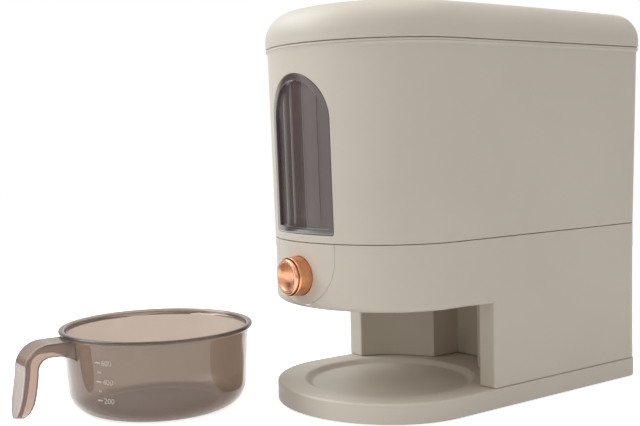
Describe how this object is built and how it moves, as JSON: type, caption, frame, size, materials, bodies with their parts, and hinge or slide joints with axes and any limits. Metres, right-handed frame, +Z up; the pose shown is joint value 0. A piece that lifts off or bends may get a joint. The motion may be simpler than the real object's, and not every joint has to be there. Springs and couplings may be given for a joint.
{
  "type": "cereal dispenser",
  "caption": "Countertop dry-food dispenser: D-shaped tank with arched window and lift-off lid, push-button sliding gate, open cup bay over a dish base, and a handled measuring bowl.",
  "frame": {"origin": "on the counter, on the underside of the middle foot, under the centre of the half-round front", "axes": "+Z up, -Y towards the round front with the window and the button, +X the right-hand side seen from the front"},
  "size_m": [0.2617, 0.4639, 0.2983],
  "materials": {
    "greige": "fine matte texture",
    "smoke": "clear smoky brown",
    "copper": "polished rose-gold plating",
    "steel": "plain",
    "white": "smooth",
    "rubber": "matt"
  },
  "bodies": {
    "housing": {"base_plate": "greige", "base_tray": "greige", "foot_middle": "rubber", "foot_front_left": "rubber", "foot_front_right": "rubber", "foot_rear_left": "rubber", "foot_rear_right": "rubber", "base_screw_1": "steel", "base_screw_2": "steel", "base_screw_3": "steel", "base_screw_4": "steel", "lower_housing": "greige", "front_panel": "greige", "button_barrel": "copper", "return_spring": "steel", "gate_tray": "white", "gate_cover": "white", "gate_seal": "rubber", "gate_screw_1": "steel", "gate_screw_2": "steel", "gate_screw_3": "steel", "gate_screw_4": "steel", "outlet_chute": "white", "tank_shell": "greige", "tank_screw_1": "steel", "tank_screw_2": "steel", "tank_screw_3": "steel", "tank_screw_4": "steel", "window": "smoke", "window_seal": "rubber", "hopper": "white"},
    "lid": {"lid_shell": "greige", "lid_liner": "white", "lid_seal": "rubber"},
    "button": {"button_cap": "copper", "button_stem": "steel", "stem_clip": "rubber", "gate_slide": "steel"},
    "bowl": {"measuring_bowl": "smoke"}
  },
  "joints": [
    {"name": "button_press", "type": "slide", "parent": "housing", "child": "button", "axis": [0, 1, 0], "range_m": [0, 0.012], "stiffness_N_per_m": 300, "springref_m": -0.004, "deforming": ["return_spring"]},
    {"name": "lid_lift", "type": "slide", "parent": "housing", "child": "lid", "axis": [0, 0, 1], "range_m": [0, 0.07]},
    {"name": "bowl_lift", "type": "slide", "parent": "housing", "child": "bowl", "axis": [0, 0, 1], "range_m": [0, 0.3]}
  ]
}
